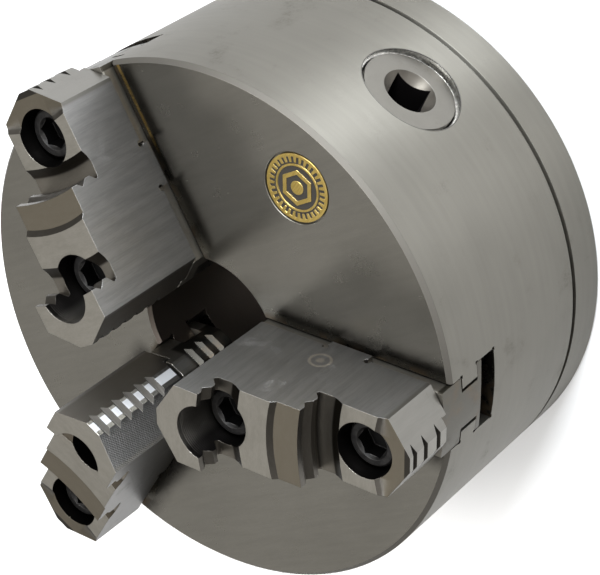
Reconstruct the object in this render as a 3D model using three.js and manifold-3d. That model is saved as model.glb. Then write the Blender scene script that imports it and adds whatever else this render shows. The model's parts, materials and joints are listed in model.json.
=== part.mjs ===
// Three-jaw self-centring scroll chuck with two-piece jaws, standing on its mounting face.
// Millimetres, +Z along the chuck's axis towards the work, origin on the axis at the mounting face.
// Each jaw and each pinion is drawn pointing along +X and then turned about Z to its own place.
import * as THREE from 'three';
import { mergeVertices } from 'three/addons/utils/BufferGeometryUtils.js';
import Module from 'manifold-3d';

const wasm = await Module();
wasm.setup();

// Body and cover
const GAP = 0.3;
const BODY_RADIUS = 80;
const FRONT = 79;
const PARTING = 14.6;
const EDGE_CHAMFER = 1.2;
const BORE_RADIUS = 21.7;
const HUB_RADIUS = 27;
const CAVITY_RADIUS = 68.5;
const CAVITY_CEILING = 61.8;
const COVER_STEP_TOP = 24;
const COVER_BOSS_RADIUS = 35.6;
const COVER_BOSS_TOP = 46.2;
const REGISTER_RADIUS = 62.5;
const REGISTER_DEPTH = 4;
const RING_STEPS = 48;

// Scroll plate: flat spiral thread in front, bevel ring behind
const THREAD_PITCH = 8;
const THREAD_WIDTH = 4;
const THREAD_FLOOR = 56.8;
const THREAD_TOP = 61.4;
const THREAD_INNER = 38;
const THREAD_OUTER = 67.4;
const THREAD_STEPS_PER_TURN = 30;
const SCROLL_BORE = HUB_RADIUS + 0.4;
const SCROLL_OUTER = 67.8;
const SCROLL_COLLAR_RADIUS = 36;
const SCROLL_COLLAR_BOTTOM = 46.6;
const SCROLL_RIM_BOTTOM = 52.3;

// Bevel pair: the two pitch cones meet on the chuck's axis at the height of the pinions
const PINION_HEIGHT = 38;
const RING_TEETH = 48;
const PINION_TEETH = 12;
const GEAR_INNER = 37.2;
const GEAR_OUTER = 46;
const PITCH_SLOPE = PINION_TEETH / RING_TEETH;
const MODULE_SLOPE = 2 * PITCH_SLOPE / PINION_TEETH;
const PRESSURE_ANGLE = THREE.MathUtils.degToRad(20);
const BACKLASH = { ringTooth: 0.12, pinionTooth: 0.02 };
const RING_TIP = 0.65;
const RING_ROOT = 1.6;
const PINION_RINGS = [4.8, 6.95];

// Pinions and their retaining pins
const PINION_ANGLES = [30, 150, 270];
const PINION_HEAD_RADIUS = 13.6;
const PINION_HEAD_START = 60;
const PINION_END = 78.3;
const PINION_BORE = 14;
const PINION_MOUTH_RADIUS = 14.6;
const PINION_MOUTH_START = 77.2;
const PINION_SHAFT_RADIUS = 8;
const PINION_TAIL_RADIUS = 3.4;
const PINION_TAIL_START = 36.6;
const PINION_GEAR_BACK_RADIUS = 6.4;
const PINION_TAIL_END = 23.6;
const TAIL_HOLE_RADIUS = PINION_TAIL_RADIUS + 0.4;
const GROOVE_RADIUS = 11.2;
const GROOVE_START = 69.6;
const GROOVE_END = 75.2;
const SOCKET_SQUARE = 10;
const SOCKET_TURN = 20;
const SOCKET_MOUTH_RADIUS = 7.6;
const SOCKET_DEPTH = 13;
const PIN_RADIUS = 2.2;
const PIN_HOLE_TOP = PINION_HEIGHT - 8;
const PIN_CIRCLE = (GROOVE_START + GROOVE_END) / 2;

// Jaws: half widths across the jaw, heights above the mounting face
const JAW_ANGLES = [90, 330, 210];
const JAW_TOP_HALF = 12.05;
const MASTER_HALF = 10.1;
const NECK_HALF = 5.7;
const NECK_CLEARANCE = 1.1;
const FLANGE_HALF = 10.7;
const TONGUE_HALF = 4.2;
const MASTER_TOP = FRONT + 3.8;
const TONGUE_HEIGHT = 2;
const RIB_TOP = 73.5;
const RIB_BOTTOM = 66.2;
const FLANGE_BOTTOM = 62.1;
const WAY_BOTTOM = 57.6;
const KEY_START = 43;
const KEY_END = 56.3;
const KEY_FLOOR = FRONT + 1.2;
const NOSE_TIP = 15.4;
const NOSE_TIP_HALF = 2.5;
const NOSE_SHOULDER = 21.7;
const TAIL_SHOULDER = 75.9;
const TAIL_TIP = 82.2;
const TAIL_TIP_HALF = 2.2;
const NOSE_TOP = FRONT + 42.2;
const STEP_ARC = 65;

// The two steps' outlines: distance along the jaw's middle, height above the front face
const INNER_STEP = [
  [28.4, 60], [28.4, 40.4], [27.4, 39], [29.2, 37.4], [29.2, 35.8], [27.3, 34], [27.8, 32.8],
  [32, 32.6], [36, 34.4], [45.3, 34.4], [46.7, 33.2], [54.2, 33],
];
const OUTER_STEP = [
  [54.2, 60], [54.2, 31], [53, 29.4], [54.5, 27.6], [54.5, 25.8], [53, 24.1], [53.4, 23.2],
  [57.6, 23], [61.2, 24.5], [71.7, 24.5], [73.2, 23.8], [82, 23.2],
];

const MASTER_END_RADIUS = BODY_RADIUS - 0.1;
const MASTER_END_CHAMFER = 2.3;
const MASTER_END_ANGLES = [8.6, 5.8, 2.9];
const NOSE_NOTCHES = [6, 15.4, 20.1, 24.8, 29.6, 34.3, 39].map((height) => FRONT + height);
const MASTER_NOTCHES = [-2.4, -7.1, -11.8].map((height) => FRONT + height);
const NOSE_NOTCH = { depth: 1.1, half: 1.25 };
const TAIL_NOTCHES = [9.8, 15.8, 20.8].map((height) => FRONT + height);
const TAIL_NOTCH = { depth: 1.6, half: 0.9 };
const JAW_TOOTH_WIDTH = 2.6;
const JAW_TOOTH_HALF = 8;
const JAW_TOOTH_BOTTOM = 57.9;

// Fasteners
const JAW_SCREW = { head: 7.15, headHeight: 9.5, shank: 4.5, socket: 7.9, socketDepth: 5, steps: 16 };
const JAW_SCREW_PLACES = [{ x: 30.5, seat: 99.3 }, { x: 68.8, seat: 90 }];
const JAW_SCREW_END = 68;
const SCREW_CLEARANCE = 0.45;
const COUNTERBORE_RADIUS = 8.25;
const COVER_SCREW = { head: 4.8, headHeight: 6, shank: 3, socket: 5, socketDepth: 3, steps: 12 };
const COVER_SCREW_CIRCLE = 74.2;
const COVER_SCREW_COUNT = 6;
const COVER_SCREW_SEAT = 7;
const COVER_SCREW_END = 32;
const MOUNTING_HOLE_RADIUS = 4.3;
const MOUNTING_HOLE_CIRCLE = 70;
const MOUNTING_HOLE_DEPTH = 12;

// Badge let into the front face
const BADGE_RADIUS = 9.8;
const BADGE_CIRCLE = 62;
const BADGE_ANGLE = 30;
const BADGE_RECESS = 1;
const BADGE_THICKNESS = 0.6;

const finish = {
  body: new THREE.MeshStandardMaterial({ color: 0xa8a39a, roughness: 0.42, metalness: 0.9 }),
  cover: new THREE.MeshStandardMaterial({ color: 0xa29d94, roughness: 0.45, metalness: 0.9 }),
  jaw: new THREE.MeshStandardMaterial({ color: 0x8f8d86, roughness: 0.38, metalness: 0.9 }),
  master: new THREE.MeshStandardMaterial({ color: 0x85827b, roughness: 0.45, metalness: 0.9 }),
  hardened: new THREE.MeshStandardMaterial({ color: 0x6f6c68, roughness: 0.4, metalness: 0.9 }),
  screw: new THREE.MeshStandardMaterial({ color: 0x1b1a1a, roughness: 0.45, metalness: 0.6 }),
  badge: new THREE.MeshStandardMaterial({ color: 0xb08a3c, roughness: 0.35, metalness: 0.9 }),
};

const group = new THREE.Group();

// ---- Turning geometry into solids and back ----

function signedVolume(position, index) {
  const a = new THREE.Vector3();
  const b = new THREE.Vector3();
  const c = new THREE.Vector3();
  let volume = 0;
  for (let i = 0; i < index.length; i += 3) {
    a.fromBufferAttribute(position, index[i]);
    b.fromBufferAttribute(position, index[i + 1]);
    c.fromBufferAttribute(position, index[i + 2]);
    volume += a.dot(b.cross(c)) / 6;
  }
  return volume;
}

// A closed geometry as a solid, with its shared vertices merged and its faces pointing out.
function solid(geometry) {
  const source = geometry.clone();
  source.deleteAttribute('normal');
  source.deleteAttribute('uv');
  const merged = mergeVertices(source, 1e-4);
  const position = merged.attributes.position;
  const index = [];
  for (let i = 0; i < merged.index.count; i += 3) {
    const [a, b, c] = [0, 1, 2].map((corner) => merged.index.getX(i + corner));
    if (a !== b && b !== c && c !== a) index.push(a, b, c);
  }
  if (signedVolume(position, index) < 0) index.reverse();
  return new wasm.Manifold(new wasm.Mesh({
    numProp: 3,
    vertProperties: new Float32Array(position.array),
    triVerts: new Uint32Array(index),
  }));
}

function cut(base, ...tools) {
  return tools.reduce((result, tool) => result.subtract(tool), base);
}

function addPart(name, shape, material, angle = 0) {
  const { vertProperties, triVerts } = shape.getMesh();
  const geometry = new THREE.BufferGeometry();
  geometry.setAttribute('position', new THREE.BufferAttribute(new Float32Array(vertProperties), 3));
  geometry.setIndex(new THREE.BufferAttribute(new Uint32Array(triVerts), 1));
  geometry.computeVertexNormals();
  const mesh = new THREE.Mesh(geometry, material);
  mesh.name = name;
  mesh.rotation.z = THREE.MathUtils.degToRad(angle);
  group.add(mesh);
}

// ---- Shape makers ----

// A solid turned about Z from a closed outline of [radius, height] points.
function turned(outline, steps, x = 0, y = 0) {
  const points = [...outline, outline[0]].map(([radius, height]) => new THREE.Vector2(radius, height));
  return solid(new THREE.LatheGeometry(points, steps).rotateX(Math.PI / 2).translate(x, y, 0));
}

// The same turned solid laid along +X at the pinions' height: outline of [radius, distance] points.
function turnedAlongX(outline, steps) {
  const points = [...outline, outline[0]].map(([radius, distance]) => new THREE.Vector2(radius, distance));
  const geometry = new THREE.LatheGeometry(points, steps).rotateZ(-Math.PI / 2);
  return solid(geometry.translate(0, 0, PINION_HEIGHT));
}

function shapeOf(points) {
  return new THREE.Shape(points.map(([x, y]) => new THREE.Vector2(x, y)));
}

// A plan outline of [x, y] points, standing from bottom to top.
function upright(points, bottom, top) {
  const depth = top - bottom;
  const geometry = new THREE.ExtrudeGeometry(shapeOf(points), { depth, bevelEnabled: false });
  return solid(geometry.translate(0, 0, bottom));
}

// A section of [across, height] points, running along X from start to end.
function alongX(points, start, end) {
  const depth = end - start;
  const geometry = new THREE.ExtrudeGeometry(shapeOf(points), { depth, bevelEnabled: false });
  const axes = new THREE.Matrix4().makeBasis(
    new THREE.Vector3(0, 1, 0),
    new THREE.Vector3(0, 0, 1),
    new THREE.Vector3(1, 0, 0),
  );
  return solid(geometry.applyMatrix4(axes).translate(start, 0, 0));
}

// A side outline of [x, height] points, as wide as the given half width to each side.
function across(points, half) {
  const geometry = new THREE.ExtrudeGeometry(shapeOf(points), { depth: 2 * half, bevelEnabled: false });
  return solid(geometry.rotateX(Math.PI / 2).translate(0, half, 0));
}

function cylinder(radius, bottom, top, steps, x = 0, y = 0) {
  return turned([[0, bottom], [radius, bottom], [radius, top], [0, top]], steps, x, y);
}

function spun(shape, degrees) {
  return shape.rotate([0, 0, degrees]);
}

function onCircle(radius, degrees) {
  const angle = THREE.MathUtils.degToRad(degrees);
  return [radius * Math.cos(angle), radius * Math.sin(angle)];
}

function hexagon(acrossFlats, x, y) {
  const corner = acrossFlats / Math.sqrt(3);
  return [0, 1, 2, 3, 4, 5].map((i) => {
    const [dx, dy] = onCircle(corner, 60 * i);
    return [x + dx, y + dy];
  });
}

// ---- Body ----

function waySection() {
  const neck = NECK_HALF + NECK_CLEARANCE;
  const upper = MASTER_HALF + GAP;
  const flange = FLANGE_HALF + GAP;
  const open = FRONT + 5;
  return [
    [-flange, WAY_BOTTOM], [flange, WAY_BOTTOM], [flange, RIB_BOTTOM], [neck, RIB_BOTTOM],
    [neck, RIB_TOP], [upper, RIB_TOP], [upper, open], [-upper, open],
    [-upper, RIB_TOP], [-neck, RIB_TOP], [-neck, RIB_BOTTOM], [-flange, RIB_BOTTOM],
  ];
}

function makeBody() {
  const shell = turned([
    [BORE_RADIUS, PARTING], [HUB_RADIUS, PARTING], [HUB_RADIUS, CAVITY_CEILING],
    [CAVITY_RADIUS, CAVITY_CEILING], [CAVITY_RADIUS, PARTING], [BODY_RADIUS - 0.5, PARTING],
    [BODY_RADIUS, PARTING + 0.5], [BODY_RADIUS, FRONT - EDGE_CHAMFER],
    [BODY_RADIUS - EDGE_CHAMFER, FRONT], [BORE_RADIUS + 1, FRONT], [BORE_RADIUS, FRONT - 1],
  ], RING_STEPS);
  const way = alongX(waySection(), 0, BODY_RADIUS + 5);
  const pinionBore = turnedAlongX([
    [0, CAVITY_RADIUS - 5], [PINION_BORE, CAVITY_RADIUS - 5], [PINION_BORE, PINION_MOUTH_START],
    [PINION_MOUTH_RADIUS, PINION_MOUTH_START], [PINION_MOUTH_RADIUS, 90], [0, 90],
  ], 24);
  const tailHole = turnedAlongX([
    [0, PINION_TAIL_END - 0.4], [TAIL_HOLE_RADIUS, PINION_TAIL_END - 0.4],
    [TAIL_HOLE_RADIUS, HUB_RADIUS + 3], [0, HUB_RADIUS + 3],
  ], 12);
  const pinHole = cylinder(PIN_RADIUS + GAP, PARTING - 1, PIN_HOLE_TOP, 12, PIN_CIRCLE, 0);
  const screwHole = cylinder(COVER_SCREW.shank + SCREW_CLEARANCE, PARTING - 1, COVER_SCREW_END + 2, 12,
    COVER_SCREW_CIRCLE, 0);
  const [badgeX, badgeY] = onCircle(BADGE_CIRCLE, BADGE_ANGLE);
  const tools = [cylinder(BADGE_RADIUS + 0.5, FRONT - BADGE_RECESS, FRONT + 5, 32, badgeX, badgeY)];
  for (const angle of JAW_ANGLES) tools.push(spun(way, angle));
  for (const angle of PINION_ANGLES) {
    tools.push(spun(pinionBore, angle), spun(tailHole, angle), spun(pinHole, angle));
  }
  for (let i = 0; i < COVER_SCREW_COUNT; i++) tools.push(spun(screwHole, i * 360 / COVER_SCREW_COUNT));
  return cut(shell, ...tools);
}

// ---- Rear cover: closes the body, carries the scroll on its boss and the lathe's backplate behind ----

function makeCover() {
  const top = PARTING - GAP;
  const shell = turned([
    [BORE_RADIUS, REGISTER_DEPTH], [REGISTER_RADIUS, REGISTER_DEPTH], [REGISTER_RADIUS, 0],
    [BODY_RADIUS - 1, 0], [BODY_RADIUS, 1], [BODY_RADIUS, top - 0.5], [BODY_RADIUS - 0.5, top],
    [CAVITY_RADIUS - GAP, top], [CAVITY_RADIUS - GAP, COVER_STEP_TOP],
    [COVER_BOSS_RADIUS, COVER_STEP_TOP], [COVER_BOSS_RADIUS, COVER_BOSS_TOP],
    [SCROLL_BORE, COVER_BOSS_TOP], [SCROLL_BORE, top], [BORE_RADIUS, top],
  ], RING_STEPS);
  const counterbore = cylinder(COVER_SCREW.head + 0.5, -1, COVER_SCREW_SEAT, 16, COVER_SCREW_CIRCLE, 0);
  const clearance = cylinder(COVER_SCREW.shank + SCREW_CLEARANCE, COVER_SCREW_SEAT - 1, top + 1, 12,
    COVER_SCREW_CIRCLE, 0);
  const screwHole = counterbore.add(clearance);
  const mountingHole = cylinder(MOUNTING_HOLE_RADIUS, -1, MOUNTING_HOLE_DEPTH, 16,
    MOUNTING_HOLE_CIRCLE, 0);
  const tailHole = turnedAlongX([
    [0, SCROLL_BORE - 3], [TAIL_HOLE_RADIUS, SCROLL_BORE - 3],
    [TAIL_HOLE_RADIUS, COVER_BOSS_RADIUS + 4], [0, COVER_BOSS_RADIUS + 4],
  ], 12);
  const tools = [];
  for (let i = 0; i < COVER_SCREW_COUNT; i++) tools.push(spun(screwHole, i * 360 / COVER_SCREW_COUNT));
  for (const angle of PINION_ANGLES) tools.push(spun(mountingHole, angle), spun(tailHole, angle));
  return cut(shell, ...tools);
}

// ---- Scroll plate ----

// Radius of the thread's middle at an angle in turns, in the scroll's own frame.
function threadRadius(turns) {
  return THREAD_INNER + THREAD_WIDTH / 2 + THREAD_PITCH * turns;
}

function spiralThread() {
  const turns = (THREAD_OUTER - THREAD_INNER - THREAD_WIDTH) / THREAD_PITCH;
  const steps = Math.ceil(turns * THREAD_STEPS_PER_TURN);
  const outer = [];
  const inner = [];
  for (let i = 0; i <= steps; i++) {
    const turn = turns * i / steps;
    outer.push(onCircle(threadRadius(turn) + THREAD_WIDTH / 2, 360 * turn));
    inner.push(onCircle(threadRadius(turn) - THREAD_WIDTH / 2, 360 * turn));
  }
  return upright([...outer, ...inner.reverse()], THREAD_FLOOR - 1, THREAD_TOP);
}

// A shape drawn across the gear at its outer end, drawn in along X towards the cones' meeting point.
function taperedAlongX(points) {
  const depth = GEAR_OUTER - GEAR_INNER;
  const geometry = new THREE.ExtrudeGeometry(shapeOf(points), { depth, bevelEnabled: false });
  const position = geometry.attributes.position;
  for (let i = 0; i < position.count; i++) {
    const x = GEAR_INNER + position.getZ(i);
    const scale = x / GEAR_OUTER;
    position.setXYZ(i, x, position.getX(i) * scale, PINION_HEIGHT + position.getY(i) * scale);
  }
  return solid(geometry);
}

function ringTooth() {
  const module = MODULE_SLOPE * GEAR_OUTER;
  const pitchHeight = PITCH_SLOPE * GEAR_OUTER;
  const halfPitch = Math.PI * module / 4 - BACKLASH.ringTooth * module;
  const halfAt = (below) => halfPitch - below * Math.tan(PRESSURE_ANGLE);
  const tip = RING_TIP * module;
  const root = RING_ROOT * module;
  return taperedAlongX([
    [-halfAt(tip), pitchHeight - tip], [halfAt(tip), pitchHeight - tip],
    [halfAt(-root), pitchHeight + root], [-halfAt(-root), pitchHeight + root],
  ]);
}

function makeScroll() {
  const rootAt = (x) => PINION_HEIGHT + x * (PITCH_SLOPE + 1.25 * MODULE_SLOPE);
  const plate = turned([
    [SCROLL_BORE, SCROLL_COLLAR_BOTTOM], [SCROLL_COLLAR_RADIUS, SCROLL_COLLAR_BOTTOM],
    [SCROLL_COLLAR_RADIUS + 0.6, rootAt(SCROLL_COLLAR_RADIUS + 0.6)],
    [GEAR_OUTER + 0.2, rootAt(GEAR_OUTER + 0.2)], [GEAR_OUTER + 1, SCROLL_RIM_BOTTOM],
    [SCROLL_OUTER, SCROLL_RIM_BOTTOM], [SCROLL_OUTER, THREAD_FLOOR], [SCROLL_BORE, THREAD_FLOOR],
  ], RING_STEPS);
  const teeth = [];
  const tooth = ringTooth();
  for (let i = 0; i < RING_TEETH; i++) teeth.push(spun(tooth, i * 360 / RING_TEETH));
  return wasm.Manifold.union([plate, spiralThread(), ...teeth]);
}

// ---- Pinions ----

// Half the angle that an involute pinion tooth fills at a radius given in modules.
function toothHalfAngle(radius) {
  const pitch = PINION_TEETH / 2;
  const base = pitch * Math.cos(PRESSURE_ANGLE);
  const involute = (angle) => Math.tan(angle) - angle;
  const pressure = Math.acos(Math.min(1, base / radius));
  const wholeHalf = Math.PI / (2 * PINION_TEETH) + involute(PRESSURE_ANGLE);
  return wholeHalf - involute(pressure) - BACKLASH.pinionTooth;
}

function pinionGear() {
  const module = MODULE_SLOPE * GEAR_OUTER;
  const points = [];
  for (let i = 0; i < PINION_TEETH; i++) {
    const middle = (i + 0.5) * 2 * Math.PI / PINION_TEETH - Math.PI / 2;
    for (const side of [-1, 1]) {
      for (const ring of side < 0 ? PINION_RINGS : [...PINION_RINGS].reverse()) {
        const angle = middle + side * toothHalfAngle(ring);
        points.push([module * ring * Math.cos(angle), module * ring * Math.sin(angle)]);
      }
    }
  }
  return taperedAlongX(points);
}

function makePinion() {
  const shaft = turnedAlongX([
    [0, PINION_TAIL_END], [PINION_TAIL_RADIUS, PINION_TAIL_END],
    [PINION_TAIL_RADIUS, PINION_TAIL_START], [PINION_GEAR_BACK_RADIUS, GEAR_INNER],
    [PINION_SHAFT_RADIUS, GEAR_OUTER], [PINION_SHAFT_RADIUS, PINION_HEAD_START],
    [PINION_HEAD_RADIUS, PINION_HEAD_START + 1], [PINION_HEAD_RADIUS, GROOVE_START],
    [GROOVE_RADIUS, GROOVE_START], [GROOVE_RADIUS, GROOVE_END], [PINION_HEAD_RADIUS, GROOVE_END],
    [PINION_HEAD_RADIUS, PINION_END - 0.6], [PINION_HEAD_RADIUS - 0.6, PINION_END], [0, PINION_END],
  ], 24);
  const corners = [45, 135, 225, 315].map((degrees) => {
    const [y, height] = onCircle(SOCKET_SQUARE / Math.SQRT2, degrees + SOCKET_TURN);
    return [y, PINION_HEIGHT + height];
  });
  const square = alongX(corners, PINION_END - SOCKET_DEPTH, PINION_END + 5);
  const mouth = turnedAlongX([
    [0, PINION_END - 2], [SOCKET_MOUTH_RADIUS - 0.6, PINION_END - 2],
    [SOCKET_MOUTH_RADIUS, PINION_END + 5], [0, PINION_END + 5],
  ], 16);
  return cut(shaft.add(pinionGear()), square, mouth);
}

// ---- Jaws ----

// Half the jaw's plan outline is drawn from nose to tail; the other half mirrors it.
function jawPlan(tail) {
  const half = [[NOSE_TIP, NOSE_TIP_HALF], [NOSE_SHOULDER, JAW_TOP_HALF], ...tail];
  const mirrored = half.map(([x, y]) => [x, -y]).reverse();
  return [...mirrored, ...half];
}

function masterJawPlan() {
  return jawPlan(MASTER_END_ANGLES.map((degrees) => onCircle(MASTER_END_RADIUS, degrees)));
}

// Radii of the jaw's thread teeth: they lie midway between turns of the thread at the jaw's angle.
function toothRadii(angle) {
  const turn = ((angle % 360) + 360) % 360 / 360;
  const first = threadRadius(turn) - THREAD_PITCH / 2;
  const radii = [];
  for (let radius = first - THREAD_PITCH; radius < CAVITY_RADIUS - 2; radius += THREAD_PITCH) {
    if (radius > NOSE_SHOULDER + 6) radii.push(radius);
  }
  return radii;
}

function jawTooth(radius) {
  const steps = 4;
  const outline = [];
  for (const side of [1, -1]) {
    const arc = radius + side * JAW_TOOTH_WIDTH / 2;
    const reach = Math.asin(JAW_TOOTH_HALF / radius);
    for (let i = 0; i <= steps; i++) {
      const angle = side * reach * (2 * i / steps - 1);
      outline.push([arc * Math.cos(angle), arc * Math.sin(angle)]);
    }
  }
  return upright(outline, JAW_TOOTH_BOTTOM, FLANGE_BOTTOM + 0.5);
}

function makeMasterJaw(angle) {
  const flangeTop = RIB_BOTTOM - GAP;
  const neckTop = RIB_TOP + GAP;
  const tongueTop = MASTER_TOP + TONGUE_HEIGHT;
  const bar = alongX([
    [-FLANGE_HALF, FLANGE_BOTTOM], [FLANGE_HALF, FLANGE_BOTTOM], [FLANGE_HALF, flangeTop],
    [NECK_HALF, flangeTop], [NECK_HALF, neckTop], [MASTER_HALF, neckTop], [MASTER_HALF, MASTER_TOP],
    [TONGUE_HALF, MASTER_TOP], [TONGUE_HALF, tongueTop], [-TONGUE_HALF, tongueTop],
    [-TONGUE_HALF, MASTER_TOP], [-MASTER_HALF, MASTER_TOP], [-MASTER_HALF, neckTop],
    [-NECK_HALF, neckTop], [-NECK_HALF, flangeTop], [-FLANGE_HALF, flangeTop],
  ], NOSE_TIP - 1, BODY_RADIUS + 2);
  const shaped = bar.intersect(upright(masterJawPlan(), FLANGE_BOTTOM - 1, tongueTop + 1));
  const keyway = across([
    [KEY_START, KEY_FLOOR], [KEY_END, KEY_FLOOR], [KEY_END, tongueTop + 1], [KEY_START, tongueTop + 1],
  ], JAW_TOP_HALF);
  const tapped = JAW_SCREW_PLACES.map(({ x }) => (
    cylinder(JAW_SCREW.shank + SCREW_CLEARANCE, JAW_SCREW_END - 1.5, tongueTop + 1, 16, x, 0)));
  const endChamfer = across([
    [MASTER_END_RADIUS - MASTER_END_CHAMFER - 1, FLANGE_BOTTOM - 1],
    [BODY_RADIUS + 3, FLANGE_BOTTOM - 1], [BODY_RADIUS + 3, FLANGE_BOTTOM + MASTER_END_CHAMFER + 3.1],
  ], JAW_TOP_HALF);
  const notches = tipNotches(NOSE_TIP, MASTER_NOTCHES, NOSE_NOTCH, 1);
  const grooved = cut(shaped, keyway, endChamfer, ...tapped, ...notches);
  return wasm.Manifold.union([grooved, ...toothRadii(angle).map(jawTooth)]);
}

// A step of the jaw, turned about a centre beyond the tail: everything above the outline comes off.
function stepCutter(outline) {
  const centre = outline[0][0] + STEP_ARC;
  const last = outline[outline.length - 1];
  const floor = FRONT + last[1];
  const profile = outline.map(([x, height]) => [centre - x, FRONT + height]);
  return turned([...profile, [0, floor], [0, FRONT + 60]], 60, centre, 0);
}

// V notches across a jaw's tip, at the given heights; inward is 1 at the nose and -1 at the tail.
function tipNotches(tip, heights, { depth, half }, inward) {
  const root = tip + inward * depth;
  const beyond = tip - inward * depth;
  return heights.map((height) => across([
    [root, height], [beyond, height - 2 * half], [beyond, height + 2 * half],
  ], JAW_TOP_HALF));
}

function makeTopJaw() {
  const bottom = MASTER_TOP + GAP;
  const plan = jawPlan([[TAIL_SHOULDER, JAW_TOP_HALF], [TAIL_TIP, TAIL_TIP_HALF]]);
  const block = upright(plan, KEY_FLOOR + GAP, NOSE_TOP);
  const wide = JAW_TOP_HALF + 1;
  const underside = [[NOSE_TIP - 1, KEY_START + GAP], [KEY_END - GAP, TAIL_TIP + 1]];
  const reliefs = underside.map(([start, end]) => across([
    [start, FRONT - 1], [end, FRONT - 1], [end, bottom], [start, bottom],
  ], wide));
  const grooveHalf = TONGUE_HALF + GAP;
  const grooveTop = MASTER_TOP + TONGUE_HEIGHT + GAP;
  const groove = underside.map(([start, end]) => alongX([
    [-grooveHalf, FRONT], [grooveHalf, FRONT], [grooveHalf, grooveTop], [-grooveHalf, grooveTop],
  ], start, end));
  const bores = JAW_SCREW_PLACES.flatMap(({ x, seat }) => [
    cylinder(COUNTERBORE_RADIUS, seat - GAP, NOSE_TOP + 1, 24, x, 0),
    cylinder(JAW_SCREW.shank + SCREW_CLEARANCE, FRONT, seat, 16, x, 0),
  ]);
  const notches = [
    ...tipNotches(NOSE_TIP, NOSE_NOTCHES, NOSE_NOTCH, 1),
    ...tipNotches(TAIL_TIP, TAIL_NOTCHES, TAIL_NOTCH, -1),
  ];
  const steps = [INNER_STEP, OUTER_STEP].map(stepCutter);
  return cut(block, ...reliefs, ...groove, ...steps, ...bores, ...notches);
}

// ---- Fasteners and badge ----

// A socket head cap screw with its head's underside at the seat; its shank runs to the end height.
function capScrew(size, x, seat, end) {
  const away = Math.sign(seat - end);
  const top = seat + away * size.headHeight;
  const shape = turned([
    [0, end], [size.shank - 0.5, end], [size.shank, end + 0.5 * away], [size.shank, seat],
    [size.head, seat], [size.head, top - 0.5 * away], [size.head - 0.5, top], [0, top],
  ], size.steps, x, 0);
  const floor = top - away * size.socketDepth;
  const bottomOfSocket = Math.min(floor, top + away);
  const topOfSocket = Math.max(floor, top + away);
  return cut(shape, upright(hexagon(size.socket, x, 0), bottomOfSocket, topOfSocket));
}

function makeBadge() {
  const [x, y] = onCircle(BADGE_CIRCLE, 0);
  const bottom = FRONT - BADGE_RECESS + 0.25;
  return cylinder(BADGE_RADIUS, bottom, bottom + BADGE_THICKNESS, 28, x, y);
}

// ---- Assembly ----

addPart('body', makeBody(), finish.body);
addPart('rear_cover', makeCover(), finish.cover);
addPart('scroll_plate', makeScroll(), finish.hardened);

const pinion = makePinion();
const pin = cylinder(PIN_RADIUS, PARTING + 0.2, PINION_HEIGHT - GROOVE_RADIUS - 0.5, 12, PIN_CIRCLE, 0);
PINION_ANGLES.forEach((angle, i) => {
  addPart(`pinion_${i + 1}`, pinion, finish.hardened, angle);
  addPart(`pinion_pin_${i + 1}`, pin, finish.screw, angle);
});

const topJaw = makeTopJaw();
const jawScrews = JAW_SCREW_PLACES.map(({ x, seat }) => capScrew(JAW_SCREW, x, seat, JAW_SCREW_END));
JAW_ANGLES.forEach((angle, i) => {
  addPart(`master_jaw_${i + 1}`, makeMasterJaw(angle), finish.master, angle);
  addPart(`top_jaw_${i + 1}`, topJaw, finish.jaw, angle);
  addPart(`inner_jaw_screw_${i + 1}`, jawScrews[0], finish.screw, angle);
  addPart(`outer_jaw_screw_${i + 1}`, jawScrews[1], finish.screw, angle);
});

const coverScrew = capScrew(COVER_SCREW, COVER_SCREW_CIRCLE, COVER_SCREW_SEAT - GAP, COVER_SCREW_END);
for (let i = 0; i < COVER_SCREW_COUNT; i++) {
  addPart(`cover_screw_${i + 1}`, coverScrew, finish.screw, i * 360 / COVER_SCREW_COUNT);
}
addPart('badge', makeBadge(), finish.badge, BADGE_ANGLE);

export default group;
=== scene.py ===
"""The looks of a three-jaw scroll chuck: finely turned and cut pieces, steel finishes, floor, light, camera.

Shapes are drawn in millimetres and scaled to metres. Each jaw and pinion is drawn pointing along +X,
and its object is turned about Z to its own place, so its own axes say which way it was ground.
"""
import json
import math

import bmesh
import bpy
from mathutils import Matrix, Quaternion, Vector


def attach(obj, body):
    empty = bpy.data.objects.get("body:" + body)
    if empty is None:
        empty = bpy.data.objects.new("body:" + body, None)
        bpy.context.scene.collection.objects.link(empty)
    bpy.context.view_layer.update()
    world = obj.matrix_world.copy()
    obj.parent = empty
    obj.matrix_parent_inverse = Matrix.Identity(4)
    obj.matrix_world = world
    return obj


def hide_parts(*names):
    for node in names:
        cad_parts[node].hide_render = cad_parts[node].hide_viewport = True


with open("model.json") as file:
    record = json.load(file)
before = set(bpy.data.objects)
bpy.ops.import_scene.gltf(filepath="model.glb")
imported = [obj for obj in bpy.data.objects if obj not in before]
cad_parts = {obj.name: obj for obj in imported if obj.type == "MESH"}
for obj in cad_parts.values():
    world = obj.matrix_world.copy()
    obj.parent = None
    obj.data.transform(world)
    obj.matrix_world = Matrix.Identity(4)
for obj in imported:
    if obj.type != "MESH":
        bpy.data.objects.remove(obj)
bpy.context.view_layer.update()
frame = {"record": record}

MM = 0.001

# ---- Camera ----

CAMERA_PLACE = (0.421179, 0.106824, 0.460092)
CAMERA_TURN = (0.905517, -0.1667893, 0.3536229, -0.1648366)
SENSOR = 36.0
PHOTO_WIDTH = 600
FOCAL_PIXELS = 2060.87


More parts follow.
